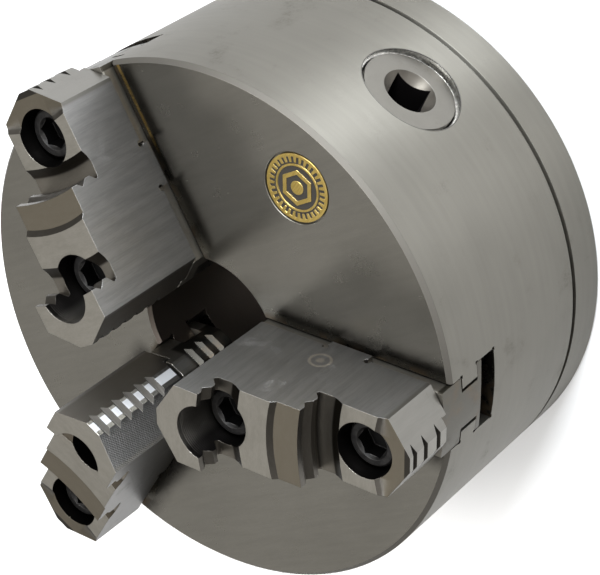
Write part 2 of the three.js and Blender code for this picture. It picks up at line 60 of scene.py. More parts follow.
def make_camera():
    data = bpy.data.cameras.new("camera")
    data.sensor_width = SENSOR
    data.lens = FOCAL_PIXELS / PHOTO_WIDTH * SENSOR
    data.clip_start = 0.01
    data.clip_end = 50
    camera = bpy.data.objects.new("camera", data)
    camera.rotation_mode = "QUATERNION"
    camera.location = CAMERA_PLACE
    camera.rotation_quaternion = Quaternion(CAMERA_TURN)
    bpy.context.scene.collection.objects.link(camera)
    bpy.context.scene.camera = camera


make_camera()

# ---- Sizes, the same as the frame's, in millimetres and degrees ----
#
# GAP is the clearance between moving pieces. The jaws' own sizes are taken with the jaw pointing along +X:
# its nose is towards the chuck's axis and its tail towards the rim.

GAP = 0.3
BODY_RADIUS = 80
FRONT = 79
PARTING = 14.6
BORE_RADIUS = 21.7
HUB_RADIUS = 27
CAVITY_RADIUS = 68.5
CAVITY_CEILING = 61.8
REGISTER_RADIUS = 62.5
PINION_HEIGHT = 38
JAW_TURNS = [90, 330, 210]
PINION_TURNS = [30, 150, 270]
PINION_END = 78.3
MOUTH_RADIUS = 14.6
PIN_CIRCLE = 72.4
SOCKET_TURN = 20
SOCKET_HALF = 5
COVER_SCREW_CIRCLE = 74.2
COVER_SCREW_TURNS = [0, 60, 120, 180, 240, 300]
MOUNTING_CIRCLE = 70
SLEEVE_RADIUS = 27.4
JAW_TOP_HALF = 12.05
MASTER_HALF = 10.1
NECK_HALF = 5.7
NECK_CLEARANCE = 1.1
FLANGE_HALF = 10.7
TONGUE_HALF = 4.2
MASTER_TOP = FRONT + 3.8
RIB_TOP = 73.5
RIB_BOTTOM = 66.2
FLANGE_BOTTOM = 62.1
WAY_BOTTOM = 57.6
KEY_START = 43
KEY_END = 56.3
KEY_FLOOR = FRONT + 1.2
NOSE_TIP = 15.4
NOSE_TIP_HALF = 2.5
NOSE_SHOULDER = 21.7
TAIL_SHOULDER = 75.9
TAIL_TIP = 82.2
TAIL_TIP_HALF = 2.2
NOSE_TOP = FRONT + 42.2
STEP_ARC = 65
INNER_CENTRE = 28.4 + STEP_ARC
OUTER_CENTRE = 54.2 + STEP_ARC
RING_PLACE = (46.0, FRONT + 11.0)
JAW_SCREWS = [(30.5, 99.3), (68.8, 90.0)]  # each screw's distance from the axis and its seat's height
COUNTERBORE_RADIUS = 8.25
RING_JAW = 2
BADGE_CIRCLE = 62
BADGE_TURN = 30
BADGE_RADIUS = 9.8

# ---- Solids ----


def new_solid(verts, faces):
    """A mesh object from vertices in millimetres and faces, with the faces pointing out."""
    mesh = bpy.data.meshes.new("solid")
    mesh.from_pydata([tuple(v) for v in verts], [], [tuple(f) for f in faces])
    work = bmesh.new()
    work.from_mesh(mesh)
    bmesh.ops.recalc_face_normals(work, faces=work.faces)
    work.to_mesh(mesh)
    work.free()
    obj = bpy.data.objects.new("solid", mesh)
    bpy.context.scene.collection.objects.link(obj)
    return obj


def lathe(outline, steps, place=(0, 0), ribbed=None):
    """A solid turned about Z from a closed outline of (radius, height) points.

    ribbed gives the radius at each step, where that isn't the same all round.
    """
    verts = []
    rings = []
    for radius, height in outline:
        if radius < 1e-6:
            rings.append([len(verts)] * steps)
            verts.append((place[0], place[1], height))
            continue
        rings.append([len(verts) + i for i in range(steps)])
        for i in range(steps):
            angle = 2 * math.pi * i / steps
            here = radius if ribbed is None else ribbed(radius, i)
            verts.append((place[0] + here * math.cos(angle), place[1] + here * math.sin(angle), height))
    faces = []
    for a, b in zip(rings, rings[1:] + rings[:1]):
        for i in range(steps):
            j = (i + 1) % steps
            face = []
            for v in (a[i], a[j], b[j], b[i]):
                if v not in face:
                    face.append(v)
            if len(face) > 2:
                faces.append(face)
    return new_solid(verts, faces)


def lathe_along_x(outline, steps):
    """The same, laid along +X at the pinions' height: outline of (radius, distance) points."""
    solid = lathe(outline, steps)
    solid.data.transform(Matrix(((0, 0, 1, 0), (0, 1, 0, 0), (-1, 0, 0, PINION_HEIGHT), (0, 0, 0, 1))))
    return solid


def plain_hole(radius, start, end):
    return [(0, start), (radius, start), (radius, end), (0, end)]


def prism(section, start, end, place):
    """A closed section swept between two levels; place gives a vertex from the section point and level."""
    count = len(section)
    verts = [place(p, start) for p in section] + [place(p, end) for p in section]
    faces = [list(range(count)), list(range(count, 2 * count))]
    for i in range(count):
        j = (i + 1) % count
        faces.append([i, j, j + count, i + count])
    return new_solid(verts, faces)


def upright(points, bottom, top):
    """A prism along Z from (x, y) points."""
    return prism(points, bottom, top, lambda p, level: (p[0], p[1], level))


def along_x(section, start, end):
    """A prism along X from (y, z) points."""
    return prism(section, start, end, lambda p, level: (level, p[0], p[1]))


def across(outline, half):
    """A prism along Y, as far either way as half, from (x, z) points."""
    return prism(outline, -half, half, lambda p, level: (p[0], level, p[1]))


def turned_copy(solid, degrees):
    copy = solid.copy()
    copy.data = solid.data.copy()
    copy.data.transform(Matrix.Rotation(math.radians(degrees), 4, "Z"))
    bpy.context.scene.collection.objects.link(copy)
    return copy


def discard(*solids):
    for solid in solids:
        mesh = solid.data
        bpy.data.objects.remove(solid)
        bpy.data.meshes.remove(mesh)


def combine(base, others, operation):
    """base with the other solids taken off or added on; the others are used up."""
    for other in others:
        step = base.modifiers.new("step", "BOOLEAN")
        step.operation = operation
        step.solver = "MANIFOLD"
        step.object = other
    result = bpy.data.meshes.new_from_object(base.evaluated_get(bpy.context.evaluated_depsgraph_get()))
    old = base.data
    base.modifiers.clear()
    base.data = result
    bpy.data.meshes.remove(old)
    discard(*others)
    return base


def cut(base, *tools):
    return combine(base, tools, "DIFFERENCE")


def joined(base, *others):
    return combine(base, others, "UNION")


def hexagon(across_flats, x):
    corner = across_flats / math.sqrt(3)
    angles = [math.pi * i / 3 for i in range(6)]
    return [(x + corner * math.cos(angle), corner * math.sin(angle)) for angle in angles]


def on_circle(radius, degrees):
    return radius * math.cos(math.radians(degrees)), radius * math.sin(math.radians(degrees))


# ---- Node materials ----

BUMP_HEIGHT = 0.02
OLD_STAIN = (0.10, 0.075, 0.05)


def node_math(operation):
    return lambda value, *others: value.look.math(operation, value, *others)


class Value:
    """What a node gives out. + - * abs, | for the larger and & for the smaller add further nodes."""

    __add__ = node_math("ADD")
    __sub__ = node_math("SUBTRACT")
    __mul__ = node_math("MULTIPLY")
    __or__ = node_math("MAXIMUM")
    __and__ = node_math("MINIMUM")
    __abs__ = node_math("ABSOLUTE")

    def __init__(self, look, socket):
        self.look = look
        self.socket = socket

    def __rsub__(self, other):
        return self.look.math("SUBTRACT", other, self)

    def span(self, low, high, to_low=0.0, to_high=1.0):
        """Goes smoothly from to_low to to_high while this goes from low to high."""
        inputs = {"Value": self, "From Min": low, "From Max": high, "To Min": to_low, "To Max": to_high}
        node = self.look.add("ShaderNodeMapRange", inputs, clamp=True, interpolation_type="SMOOTHSTEP")
        return self.look.value(node)

    def inside(self, low, high, soft=0.15):
        """1 where this is between low and high."""
        return self.span(low - soft, low + soft) * self.span(high + soft, high - soft)


def length(a, b):
    return a.look.math("SQRT", a * a + b * b)


class Look:
    """One material's nodes.

    place and x, y, z are in millimetres, facing is the surface's own direction, and color and roughness
    are what has been built up so far.
    """

    def __init__(self, name):
        self.material = bpy.data.materials.new(name)
        self.material.use_nodes = True
        self.tree = self.material.node_tree
        self.tree.nodes.clear()
        self.shader = self.add("ShaderNodeBsdfPrincipled")
        self.add("ShaderNodeOutputMaterial", {"Surface": self.shader.outputs["BSDF"]})
        coordinates = self.add("ShaderNodeTexCoord")
        self.place = self.scaled(coordinates.outputs["Object"], (1 / MM, 1 / MM, 1 / MM))
        self.x, self.y, self.z = self.parts(self.place)
        self.facing = self.parts(coordinates.outputs["Normal"])
        self.sideways = abs(self.facing[1])
        self.flat = abs(self.facing[2])

    def add(self, kind, inputs=(), **settings):
        """A node with its settings, and its inputs by name or number."""
        node = self.tree.nodes.new(kind)
        for name, value in settings.items():
            setattr(node, name, value)
        for name, value in dict(inputs).items():
            self.feed(node.inputs[name], value)
        return node

    def feed(self, socket, value):
        if isinstance(value, Value):
            value = value.socket
        if isinstance(value, bpy.types.NodeSocket):
            self.tree.links.new(value, socket)
        else:
            socket.default_value = (*value, 1.0) if isinstance(value, tuple) else value

    def value(self, node, output=0):
        return Value(self, node.outputs[output])

    def math(self, operation, *values):
        return self.value(self.add("ShaderNodeMath", enumerate(values), operation=operation))

    def scaled(self, vector, scale, turn=(0, 0, 0)):
        inputs = {"Vector": vector, "Rotation": [math.radians(a) for a in turn], "Scale": list(scale)}
        return self.value(self.add("ShaderNodeMapping", inputs, vector_type="POINT"))

    def parts(self, vector):
        node = self.add("ShaderNodeSeparateXYZ", {0: vector})
        return [self.value(node, i) for i in range(3)]

    def noise(self, vector, scale, detail=3.0, roughness=0.6):
        inputs = {"Vector": vector, "Scale": scale, "Detail": detail, "Roughness": roughness}
        return self.value(self.add("ShaderNodeTexNoise", inputs), "Fac")

    def blend(self, amount, a, b):
        return self.value(self.add("ShaderNodeMix", {0: amount, 6: a, 7: b}, data_type="RGBA"), 2)

    def lerp(self, amount, a, b):
        return self.value(self.add("ShaderNodeMix", {0: amount, 2: a, 3: b}, data_type="FLOAT"))

    def edge(self, radius):
        """1 on edges and 0 on faces, and the surface's direction with its edges rounded."""
        soft = self.add("ShaderNodeBevel", {"Radius": radius * MM}, samples=4).outputs["Normal"]
        plain = self.add("ShaderNodeNewGeometry").outputs["Normal"]
        dot = self.add("ShaderNodeVectorMath", {0: soft, 1: plain}, operation="DOT_PRODUCT")
        return self.value(dot, "Value").span(0.995, 0.93), soft

    def paint(self, paint, amount):
        """Cover the colour with another, as far as amount goes from 0 to 1."""
        self.color = self.blend(amount, self.color, paint)

    def dim(self, factor):
        node = self.add("ShaderNodeVectorMath", {0: self.color, "Scale": factor}, operation="SCALE")
        self.color = self.value(node)

    def turn_round_z(self, amount):
        """Spread the gloss across the marks of a cut that runs round Z."""
        tangent = self.add("ShaderNodeTangent", direction_type="RADIAL", axis="Z").outputs[0]
        self.feed(self.shader.inputs["Tangent"], tangent)
        self.shader.inputs["Anisotropic"].default_value = amount
        self.shader.inputs["Anisotropic Rotation"].default_value = 0.25

    def finish(self, height, bump, normal=None, metallic=1.0):
        inputs = {"Strength": bump, "Distance": BUMP_HEIGHT * MM, "Height": height}
        if normal is not None:
            inputs["Normal"] = normal
        self.feed(self.shader.inputs["Normal"], self.add("ShaderNodeBump", inputs).outputs["Normal"])
        self.feed(self.shader.inputs["Base Color"], self.color)
        self.feed(self.shader.inputs["Roughness"], self.roughness)
        self.shader.inputs["Metallic"].default_value = metallic
        return self.material


# Grinding and turning marks: coordinates that vary slowly along a mark and fast across it.


def round_marks(look):
    parts = look.x * 0.05, look.y * 0.05, length(look.x, look.y) + look.z
    return look.value(look.add("ShaderNodeCombineXYZ", enumerate(parts)))


def two_marks(look, amount, below, above):
    node = look.add("ShaderNodeMix", {0: amount, 4: below, 5: above}, data_type="VECTOR")
    return look.value(node, 1)


def body_marks(look):
    """Turned round the wall, and ground across the face in long fine lines."""
    straight = look.scaled(look.place, (0.12, 1.3, 0.4), (0, 0, 18))
    return two_marks(look, look.flat.span(0.9, 0.98), round_marks(look), straight)


def jaw_marks(look):
    """Sides ground nearly upright, steps ground across."""
    side = look.scaled(look.place, (1.0, 0.3, 0.06), (0, 8, 0))
    top = look.scaled(look.place, (0.9, 0.25, 0.5))
    return two_marks(look, look.sideways.span(0.3, 0.42), top, side)


def master_marks(look):
    return look.scaled(look.place, (0.05, 1.0, 1.0))


def pinion_marks(look):
    return look.scaled(look.place, (1.2, 0.5, 0.5))


def steel(name, pale, dark, rough, marks, bump, stain=OLD_STAIN, stain_amount=0.2, wear_and_highlight=0.1,
          edge_radius=0.2, contrast=1.0, uneven=1.0, turned=0.0, zones=None):
    """Ground or turned steel, with marks, clouds, stains, and edges painted lighter, partly as worn edges and
    partly as a painted highlight.

    uneven scales how far the gloss varies, turned is its spread across turning marks, and zones adds
    what shows only in places.
    """
    look = Look(name)
    if turned:
        look.turn_round_z(turned)
    grain = marks(look)
    fine = look.noise(grain, 3.2, 4.0, 0.7)
    broad = look.noise(grain, 0.55, 2.0, 0.5)
    cloud = look.noise(look.place, 0.035, 3.0, 0.55)
    speck = look.noise(look.place, 1.6, 2.0)
    low = 0.5 - 0.2 / contrast
    look.color = look.blend((fine * 0.55 + broad * 0.45).span(low, 1 - low), dark, pale)
    look.paint(tuple(c * 0.72 for c in dark), cloud.span(0.35, 0.75, 0, 0.22))
    blot = look.noise(look.place, 0.09, 4.0, 0.62).span(0.56, 0.74) * speck.span(0.3, 0.7)
    look.paint(stain, blot * stain_amount)
    look.roughness = look.lerp(fine, rough - 0.07 * uneven, rough + 0.09 * uneven)
    look.roughness += blot * (0.18 * uneven)
    edge, soft = look.edge(edge_radius)
    # Edges painted lighter: partly worn metal, partly a painted highlight.
    look.paint(tuple(min(1, c * 1.35 + 0.08) for c in pale), edge * wear_and_highlight)
    look.roughness -= edge * 0.08
    if zones is not None:
        zones(look)
    return look.finish(fine + speck * 0.25, bump, soft)


# What shows only in places: each mask is 1 in its place, and is painted over what is there already.


def along_and_beside(x, y, degrees):
    """How far out a place is in a direction from the axis, and how far to its side."""
    c, s = on_circle(1, degrees)
    return x * c + y * s, y * c - x * s


def groove_zones(look):
    """Painted shade in the groove where the body and the cover meet."""
    deep = length(look.x, look.y).span(BODY_RADIUS - 0.1, BODY_RADIUS - 0.3)
    # Painted shade: the groove is painted dark.
    look.paint((0.045, 0.04, 0.033), deep * look.z.inside(PARTING - 0.8, PARTING + 0.5))


def body_zones(look):
    """Rough pinion mouths with painted shade along their edges, painted shade along the jaws' feet, dirt
    along the T-ways, a dull rim and a brown bore.
    """
    x, y, z = look.x, look.y, look.z
    radius = length(x, y)
    grain = look.noise(look.place, 1.1, 3.0, 0.65)
    patch = look.noise(look.place, 0.22).span(0.45, 0.62)
    up = look.facing[2].span(0.9, 0.98)
    for degrees in PINION_TURNS:
        out, side = along_and_beside(x, y, degrees)
        away = length(side, z - PINION_HEIGHT)
        mouth = away.span(MOUTH_RADIUS + 0.15, MOUTH_RADIUS + 0.05) * out.span(70, 71)
        look.paint(look.blend(grain.span(0.4, 0.62), (0.44, 0.43, 0.41), (0.72, 0.71, 0.68)), mouth)
        # Painted shade: a dark line along the edge of each pinion's mouth.
        lip = away.inside(MOUTH_RADIUS - 0.2, MOUTH_RADIUS + 0.25, 0.05)
        lip *= radius.span(BODY_RADIUS - 0.3, BODY_RADIUS - 0.2) * out.span(60, 61)
        look.paint((0.04, 0.037, 0.033), lip * 0.85)
    for degrees in JAW_TURNS:
        out, side = along_and_beside(x, y, degrees)
        side = abs(side)
        # Painted shade on the face along each jaw's side, patchy.
        foot_shade = side.span(19.0, 12.5) * out.span(22, 27) * up * patch.span(0, 1, 0.8, 1.0)
        look.paint((0.02, 0.018, 0.016), foot_shade * 0.85)
        dirt = side.span(13.5, 10.6) * out.span(0, 1) * up * patch
        look.paint((0.09, 0.06, 0.03), dirt * 0.5)
        look.roughness += dirt * 0.2
    look.roughness -= up * 0.115
    rim = radius.span(BODY_RADIUS - 1.25, BODY_RADIUS - 1.15) * z.span(FRONT - 1.3, FRONT - 1.2)
    look.paint((0.12, 0.112, 0.1), rim * 0.8)
    look.roughness = look.lerp(rim, look.roughness, 0.62)
    bore = radius.span(BORE_RADIUS + 1.1, BORE_RADIUS + 1.0) * z.span(FRONT - 0.02, FRONT - 0.1)
    look.paint((0.13, 0.105, 0.09), bore * 0.75)
    gold = x.inside(12.0, 13.0, 0.3) * y.span(50, 56) * grain.span(0.3, 0.5) * up
    look.paint((0.36, 0.25, 0.085), gold * 0.8)
    groove_zones(look)


def foot_stain(look):
    """Brown patches low down on a jaw."""
    patch = look.noise(look.place, 0.16).span(0.46, 0.7)
    amount = look.z.span(FRONT + 6, FRONT + 1) * patch * 0.4
    look.paint((0.115, 0.082, 0.052), amount)
    look.roughness += amount * 0.2


def thread_land(look):
    """The flat ends of the nose's threads, ground with the tip."""
    return look.x.span(NOSE_TIP + 0.1, NOSE_TIP + 0.04) * look.y.inside(-1.6, 1.15, 0.1)


def from_jaw_screw(look):
    """How far a place on a jaw is from the nearer of its two screws."""
    inner, outer = [length(look.x - place, look.y) for place, seat in JAW_SCREWS]
    return inner & outer


def jaw_zones(look):
    """Ground lands, dark walls, brown relief flats and a knurled nose, with painted light and shade: shade in
    the notches, scoops, ramps and counterbores, lit and shaded nose flanks, a highlight on the thread ends,
    and flanks lighter towards the top.
    """
    x, y, z, sideways, flat = look.x, look.y, look.z, look.sideways, look.flat
    inner = INNER_CENTRE - length(x - INNER_CENTRE, y)
    outer = OUTER_CENTRE - length(x - OUTER_CENTRE, y)

    flank = sideways.span(0.4, 0.6) * x.span(NOSE_SHOULDER - 0.6, NOSE_SHOULDER + 0.2)
    # Painted light: the flanks are painted darker near the front face and lighter towards the top.
    look.dim(look.lerp(flank, 1.0, z.span(FRONT + 4, FRONT + 38, 0.78, 1.1)))
    look.paint((0.23, 0.236, 0.25), flank * 0.35)
    end = x.span(TAIL_TIP - 8, TAIL_TIP - 7) * flat.span(0.9, 0.8)
    look.paint((0.12, 0.113, 0.098), end * 0.7)

    land = flat.span(0.96, 0.99)
    relief = inner.inside(46.4, 54.6) * z.inside(FRONT + 32.8, FRONT + 33.6)
    relief |= outer.span(72.3, 72.7) * z.inside(FRONT + 22.5, FRONT + 24.2)
    look.paint((0.27, 0.25, 0.205), land * 0.5)
    look.paint((0.115, 0.096, 0.066), relief * land * 0.75)

    # Painted shade in the groove at the base of each step's wall.
    scoop_shade = outer.inside(52.6, 60.0, 0.6) * z.span(FRONT + 24.3, FRONT + 24.0)
    scoop_shade |= inner.inside(27.0, 33.0, 0.6) * z.inside(FRONT + 28, FRONT + 33.3)
    look.paint((0.075, 0.064, 0.05), scoop_shade * sideways.span(0.9, 0.7) * 0.6)
    wall = flat.span(0.985, 0.95) * sideways.span(0.6, 0.5)
    wall *= x.inside(25.5, 74.5, 0.5) * z.span(FRONT + 12, FRONT + 13)
    look.paint((0.06, 0.053, 0.044), wall * 0.85)
    # Painted shade on the ramps beside each step's wall.
    ramp_shade = inner.inside(31.0, 37.5) * z.inside(FRONT + 30, FRONT + 34.5)
    ramp_shade |= outer.inside(56.5, 61.5) * z.inside(FRONT + 20, FRONT + 24.7)
    ramp_shade *= flat.span(0.985, 0.96) * sideways.span(0.5, 0.3)
    look.paint((0.018, 0.015, 0.011), ramp_shade * 0.95)

    # Painted shade in the V notches across the nose and tail tips.
    tip = x.span(NOSE_TIP + 1.15, NOSE_TIP + 1.05) | x.span(TAIL_TIP - 1.65, TAIL_TIP - 1.6)
    notch = tip * flat.span(0.3, 0.5) * z.span(NOSE_TOP - 0.5, NOSE_TOP - 0.8)
    look.paint((0.035, 0.032, 0.028), notch * 0.95)
    # Painted light and shade on the knurled nose: the flank towards -Y is painted as shaded, the flank
    # towards +Y lighter and cooler as lit.
    nose = x.span(NOSE_SHOULDER - 0.4, NOSE_SHOULDER - 0.8) * flat.span(0.9, 0.8)
    look.paint((0.16, 0.148, 0.13), nose * look.facing[1].span(-0.3, -0.45) * 0.85)
    look.paint((0.21, 0.215, 0.23), nose * look.facing[1].span(0.3, 0.45) * 0.7)

    # Painted shade inside the counterbores, paler towards the nose.
    bore = from_jaw_screw(look).span(COUNTERBORE_RADIUS + 0.12, COUNTERBORE_RADIUS + 0.09)
    bore_shade = look.blend(x.span(26, 23), (0.022, 0.02, 0.019), (0.17, 0.16, 0.145))
    look.paint(bore_shade, bore * flat.span(0.75, 0.5))
    # Painted highlight: the thread ends on the nose are painted near white.
    thread = thread_land(look) * flat.span(0.3, 0.1)
    look.paint((0.8, 0.81, 0.83), thread)
    look.roughness = look.lerp(thread, look.roughness, 0.62)
    foot_stain(look)


def plain_jaw_zones(look):
    """A jaw with painted shade that makes its flank towards +Y darker than the other."""
    jaw_zones(look)
    # Painted shade on the flank towards +Y.
    look.dim(look.facing[1].span(0.85, 0.95, 1.0, 0.42))


def tested_jaw_zones(look):
    """A jaw with the pale ring that a hardness tester leaves on its side."""
    jaw_zones(look)
    away = length(look.x - RING_PLACE[0], look.z - RING_PLACE[1])
    ring = away.inside(2.5, 3.3) * 0.45 + away.span(1.5, 0.8) * 0.4
    ring *= look.y.span(JAW_TOP_HALF - 0.5, JAW_TOP_HALF - 0.2)
    look.paint((0.36, 0.31, 0.24), ring)
    look.roughness += ring * 0.15


def master_zones(look):
    """A nose painted dark as shade below the front face, with ground thread ends, and a dull end at the rim.
    """
    land = thread_land(look)
    look.paint((0.09, 0.088, 0.082), land * 0.7)
    # Painted shade on the nose below the front face.
    nose = look.x.span(NOSE_TIP + 3, NOSE_TIP + 2.5) * look.z.span(FRONT + 0.5, FRONT - 1)
    look.paint((0.03, 0.028, 0.024), nose * 0.9)
    end = look.x.span(77.5, 78) * look.flat.span(0.9, 0.7)
    look.paint((0.045, 0.041, 0.032), end * 0.95)
    look.roughness = look.lerp(land, look.roughness, 0.55)
    foot_stain(look)


def pinion_zones(look):
    """Painted shade makes the square socket black, and its turned mouth is darker."""
    x, y, height = look.x, look.y, look.z - PINION_HEIGHT
    across_key, up_key = along_and_beside(y, height, SOCKET_TURN)
    side = abs(across_key) | abs(up_key)
    head = x.span(60, 61)
    mouth = length(y, height).span(7.7, 7.6) * x.span(PINION_END - 0.02, PINION_END - 0.1) * head
    look.paint((0.065, 0.057, 0.047), mouth * 0.8)
    # Painted shade: the square socket is painted black.
    socket = side.span(SOCKET_HALF + 0.12, SOCKET_HALF + 0.06)
    socket *= x.span(PINION_END - 0.05, PINION_END - 0.15) * head
    look.paint((0.008, 0.007, 0.007), socket)
    look.roughness += socket * 0.3


def turned_steel(name, zones):
    """The steel of the turned wall, which runs over the body and the rear cover."""
    return steel(name, (0.184, 0.176, 0.155), (0.156, 0.149, 0.131), 0.45, round_marks, 0.05,
                 stain_amount=0.05, edge_radius=0.12, contrast=0.6, turned=0.85, zones=zones)


def jaw_steel(name, zones):
    return steel(name, (0.30, 0.291, 0.272), (0.205, 0.199, 0.186), 0.38, jaw_marks, 0.22, wear_and_highlight=0.25,
                 contrast=1.15, zones=zones)


BODY_STEEL = steel("body_steel", (0.200, 0.191, 0.168), (0.175, 0.167, 0.146), 0.38, body_marks, 0.03,
                   stain_amount=0.06, edge_radius=0.12, uneven=0.15, zones=body_zones)
WALL_STEEL = turned_steel("wall_steel", body_zones)
COVER_STEEL = turned_steel("cover_steel", groove_zones)
JAW_STEEL = jaw_steel("jaw_steel", plain_jaw_zones)
JAW_RING_STEEL = jaw_steel("jaw_steel_tested", tested_jaw_zones)
MASTER_STEEL = steel("master_steel", (0.27, 0.255, 0.225), (0.22, 0.21, 0.185), 0.4, master_marks, 0.15,
                     stain_amount=0.25, wear_and_highlight=0.25, contrast=0.7, zones=master_zones)
PINION_STEEL = steel("pinion_steel", (0.175, 0.167, 0.15), (0.155, 0.148, 0.133), 0.45, pinion_marks, 0.15,
                     stain_amount=0.12, wear_and_highlight=0.3, contrast=0.7, zones=pinion_zones)
HARDENED_STEEL = steel("hardened_steel", (0.28, 0.27, 0.25), (0.19, 0.18, 0.165), 0.36, round_marks, 0.25,
                       stain=(0.16, 0.11, 0.06), stain_amount=0.5, wear_and_highlight=0.5, edge_radius=0.25)


def black_oxide():
    """Black screws, with painted shade that makes the jaw screws' hexagon sockets darker still."""
    look = Look("black_oxide")
    cloud = look.noise(look.place, 0.5)
    grain = look.noise(look.place, 5.0)
    look.color = look.blend(cloud.span(0.35, 0.7), (0.010, 0.0095, 0.0095), (0.024, 0.023, 0.022))
    look.roughness = look.lerp(grain, 0.32, 0.5)
    edge, soft = look.edge(0.2)
    # Edges painted lighter: partly worn metal, partly a painted highlight.
    look.paint((0.09, 0.085, 0.082), edge * 0.3)
    away = from_jaw_screw(look)
    # Painted shade: the hexagon sockets are painted nearly black.
    socket = away.span(4.9, 4.75) * look.flat.span(0.6, 0.4) | away.span(3.95, 3.8)
    look.paint((0.002, 0.002, 0.002), socket * 0.9)
    return look.finish(grain, 0.3, soft, 0.7)


def brass():
    look = Look("brass_badge")
    marks = look.noise(look.scaled(look.place, (0.1, 2.0, 1.0), (0, 0, 30)), 3.0)
    look.color = look.blend(marks.span(0.3, 0.7), (0.37, 0.26, 0.065), (0.50, 0.37, 0.12))
    look.roughness = look.lerp(marks, 0.3, 0.42)
    look.paint((0.34, 0.22, 0.06), look.noise(look.place, 0.25).span(0.5, 0.75, 0, 0.4))
    edge, soft = look.edge(0.12)
    # Edges painted lighter: partly worn metal, partly a painted highlight.
    look.paint((0.75, 0.6, 0.3), edge * 0.4)
    return look.finish(marks, 0.25, soft)


def enamel():
    look = Look("badge_enamel")
    look.shader.inputs["Specular IOR Level"].default_value = 0.2
    grain = look.noise(look.place, 3.0)
    look.color = look.blend(grain, (0.012, 0.011, 0.01), (0.035, 0.031, 0.025))
    look.roughness = look.lerp(grain, 0.5, 0.65)
    return look.finish(grain, 0.3, None, 0.0)


BLACK_OXIDE = black_oxide()
BRASS = brass()
ENAMEL = enamel()

# ---- Putting a piece in place of its CAD node ----

SMOOTH_BELOW = math.radians(24)
WELD = 0.0005
BODIES = frame["record"]["behaviour"]["bodies"]
BODY_OF = {node: body for body, nodes in BODIES.items() for node in nodes}


def finish_mesh(solid):
    """The solid's mesh in metres, smooth where it curves and sharp at its edges."""
    mesh = solid.data
    bpy.data.objects.remove(solid)
    work = bmesh.new()
    work.from_mesh(mesh)
    bmesh.ops.remove_doubles(work, verts=work.verts, dist=WELD)
    bmesh.ops.dissolve_degenerate(work, edges=work.edges, dist=WELD)
    work.to_mesh(mesh)
    work.free()
    mesh.transform(Matrix.Scale(MM, 4))
    mesh.materials.clear()
    mesh.polygons.foreach_set("use_smooth", [True] * len(mesh.polygons))
    mesh.set_sharp_from_angle(angle=SMOOTH_BELOW)
    return mesh


def stand_in(node, mesh, material, degrees=0.0):
    """Shows the mesh instead of a CAD node, turned about Z to its place, riding on the node's body."""
    piece = bpy.data.objects.new(node + "_fine", mesh)
    bpy.context.scene.collection.objects.link(piece)
    piece.rotation_euler = (0, 0, math.radians(degrees))
    if not mesh.materials:
        mesh.materials.append(material)
    piece.material_slots[0].link = "OBJECT"
    piece.material_slots[0].material = material
    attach(piece, BODY_OF[node])
    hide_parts(node)
    return piece


# ---- Body ----

RING_STEPS = 288
REBATE = 0.75
REBATE_RADIUS = BODY_RADIUS - 1.3


def way_section():
    """The T-way across the jaw, with relief cuts in its corners and a chamfer at the face."""
    neck = NECK_HALF + NECK_CLEARANCE
    upper = MASTER_HALF + GAP
    flange = FLANGE_HALF + GAP
    lip = 0.45
    relief = 0.7
    side, floor = 0.35, 0.4
    right = [
        (flange - relief, WAY_BOTTOM), (flange - relief, WAY_BOTTOM - floor),
        (flange + side, WAY_BOTTOM - floor), (flange + side, WAY_BOTTOM + relief),
        (flange, WAY_BOTTOM + relief), (flange, RIB_BOTTOM - relief), (flange + side, RIB_BOTTOM - relief),
        (flange + side, RIB_BOTTOM + floor), (flange - relief, RIB_BOTTOM + floor),
        (flange - relief, RIB_BOTTOM), (neck, RIB_BOTTOM), (neck, RIB_TOP), (upper - relief, RIB_TOP),
        (upper - relief, RIB_TOP - floor), (upper + side, RIB_TOP - floor), (upper + side, RIB_TOP + relief),
        (upper, RIB_TOP + relief), (upper, FRONT - lip), (upper + lip, FRONT), (upper + lip + 3, FRONT + 3),
    ]
    return right + [(-y, z) for y, z in reversed(right)]


def make_body():
    shell = lathe([
        (BORE_RADIUS, PARTING), (HUB_RADIUS, PARTING), (HUB_RADIUS, CAVITY_CEILING),
        (CAVITY_RADIUS, CAVITY_CEILING), (CAVITY_RADIUS, PARTING), (REBATE_RADIUS, PARTING),
        (REBATE_RADIUS, PARTING + REBATE), (BODY_RADIUS - 0.05, PARTING + REBATE),
        (BODY_RADIUS, PARTING + REBATE + 0.05), (BODY_RADIUS, FRONT - 1.2), (BODY_RADIUS - 1.2, FRONT),
        (BORE_RADIUS + 1, FRONT), (BORE_RADIUS, FRONT - 1),
    ], RING_STEPS)
    way = along_x(way_section(), 0, BODY_RADIUS + 5)
    pinion_bore = lathe_along_x([
        (0, CAVITY_RADIUS - 5), (14, CAVITY_RADIUS - 5), (14, 77.0), (14.25, 77.2),
        (MOUTH_RADIUS, 77.2), (MOUTH_RADIUS, 90), (0, 90),
    ], 96)
    tail_hole = lathe_along_x(plain_hole(3.8, 23.2, 30), 32)
    pin_hole = lathe(plain_hole(2.5, PARTING - 1, 30), 32, (PIN_CIRCLE, 0))
    screw_hole = lathe([
        (0, PARTING - 1), (4.0, PARTING - 1), (4.0, PARTING), (3.4, PARTING + 0.6), (3.4, 34), (0, 34),
    ], 32, (COVER_SCREW_CIRCLE, 0))
    recess = lathe([
        (0, FRONT - 1), (10.2, FRONT - 1), (10.2, FRONT - 0.15), (10.5, FRONT + 0.15), (10.5, FRONT + 5),
        (0, FRONT + 5),
    ], 96, on_circle(BADGE_CIRCLE, BADGE_TURN))
    tools = [recess] + [turned_copy(way, degrees) for degrees in JAW_TURNS]
    for degrees in PINION_TURNS:
        tools += [turned_copy(tool, degrees) for tool in (pinion_bore, tail_hole, pin_hole)]
    tools += [turned_copy(screw_hole, degrees) for degrees in COVER_SCREW_TURNS]
    discard(way, pinion_bore, tail_hole, pin_hole, screw_hole)
    return cut(shell, *tools)


# ---- Rear cover ----


